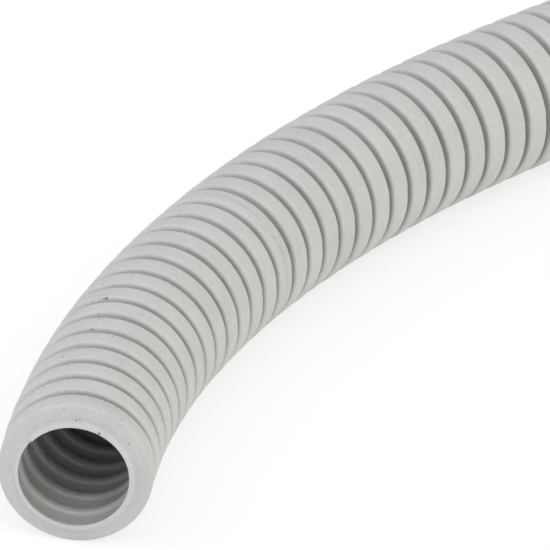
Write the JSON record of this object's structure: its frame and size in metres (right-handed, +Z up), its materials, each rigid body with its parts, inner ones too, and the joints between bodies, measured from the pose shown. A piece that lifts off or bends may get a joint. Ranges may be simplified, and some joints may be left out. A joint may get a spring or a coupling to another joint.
{
  "type": "corrugated conduit",
  "caption": "Light grey corrugated plastic conduit, size 25, a cut length lying curled on the floor with both mouths open.",
  "frame": {"origin": "on the floor under the middle of the conduit's box", "axes": "+Z up; the near mouth looks along -Y and the conduit curls from it towards +X"},
  "size_m": [0.6886, 0.3586, 0.025],
  "materials": {
    "grey_plastic": "extruded light grey plastic, satin, with fine scuffs and a few dark specks"
  },
  "bodies": {
    "root": {"conduit": "grey_plastic"}
  },
  "joints": []
}
